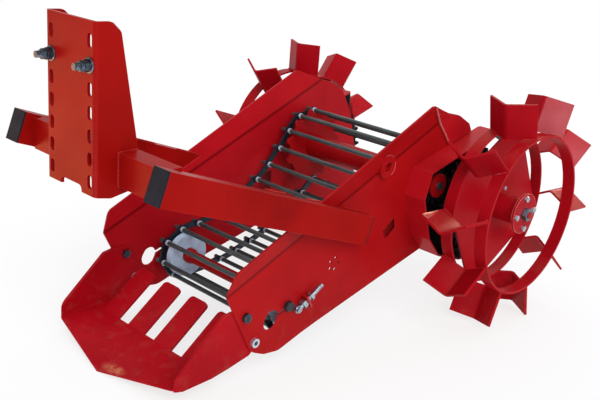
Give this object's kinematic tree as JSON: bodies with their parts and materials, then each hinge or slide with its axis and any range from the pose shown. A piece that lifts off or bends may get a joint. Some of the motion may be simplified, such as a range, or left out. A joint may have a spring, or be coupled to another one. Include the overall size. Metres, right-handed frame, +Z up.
{
  "type": "potato harvester",
  "caption": "Walk-behind tractor potato harvester: share with lifting fingers, sloping rod conveyor between side plates, slotted hitch and lugged wheels.",
  "frame": {"origin": "on the floor under the middle of the whole machine", "axes": "+X to the left of the machine, -Y forward to the hitch, +Z up"},
  "size_m": [0.794, 1.2088, 0.68],
  "materials": {
    "red_paint": "gloss red paint",
    "wheel_red": "gloss red paint",
    "black_plastic": "satin black",
    "case_black": "greased black steel",
    "gear_steel": "greased dark steel",
    "rod_steel": "dark rolled steel",
    "chain_steel": "dark pressed steel",
    "rod_end_steel": "bright steel",
    "roller_plastic": "pale grey plastic",
    "bolt_steel": "dull bolt steel",
    "zinc_steel": "zinc plated"
  },
  "bodies": {
    "frame": {"arm_caps": "black_plastic", "arm_left": "red_paint", "arm_right": "red_paint", "axle_gear_left": "gear_steel", "axle_gear_right": "gear_steel", "conveyor_chain_left": "chain_steel", "conveyor_chain_right": "chain_steel", "conveyor_rods": "rod_steel", "cross_tube": "red_paint", "drive_shaft": "red_paint", "drive_sprockets": "red_paint", "front_rollers": "roller_plastic", "gear_case_back_left": "case_black", "gear_case_back_right": "case_black", "gear_case_left": "red_paint", "gear_case_right": "red_paint", "hitch_bolts": "bolt_steel", "hitch_bracket": "red_paint", "pinion_left": "gear_steel", "pinion_right": "gear_steel", "rear_doublers": "red_paint", "rod_ends": "rod_end_steel", "roller_shaft": "red_paint", "shaft_and_axle_nuts": "zinc_steel", "share": "red_paint", "share_bolts": "bolt_steel", "side_plate_left": "red_paint", "side_plate_right": "red_paint", "stub_axle_left": "red_paint", "stub_axle_right": "red_paint", "tensioner_left": "zinc_steel", "tensioner_right": "zinc_steel"},
    "wheel_left": {"wheel_left_bolts": "zinc_steel", "wheel_left_hoop_inner": "wheel_red", "wheel_left_hoop_outer": "wheel_red", "wheel_left_hub": "wheel_red", "wheel_left_lugs": "wheel_red", "wheel_left_web": "wheel_red"},
    "wheel_right": {"wheel_right_bolts": "zinc_steel", "wheel_right_hoop_inner": "wheel_red", "wheel_right_hoop_outer": "wheel_red", "wheel_right_hub": "wheel_red", "wheel_right_lugs": "wheel_red", "wheel_right_web": "wheel_red"}
  },
  "joints": [
    {"name": "wheel_left_spin", "type": "hinge", "parent": "frame", "child": "wheel_left", "pos_m": [0.33, 0.3416, 0.262], "axis": [1, 0, 0], "continuous": true},
    {"name": "wheel_right_spin", "type": "hinge", "parent": "frame", "child": "wheel_right", "pos_m": [-0.33, 0.3416, 0.262], "axis": [1, 0, 0], "continuous": true}
  ]
}
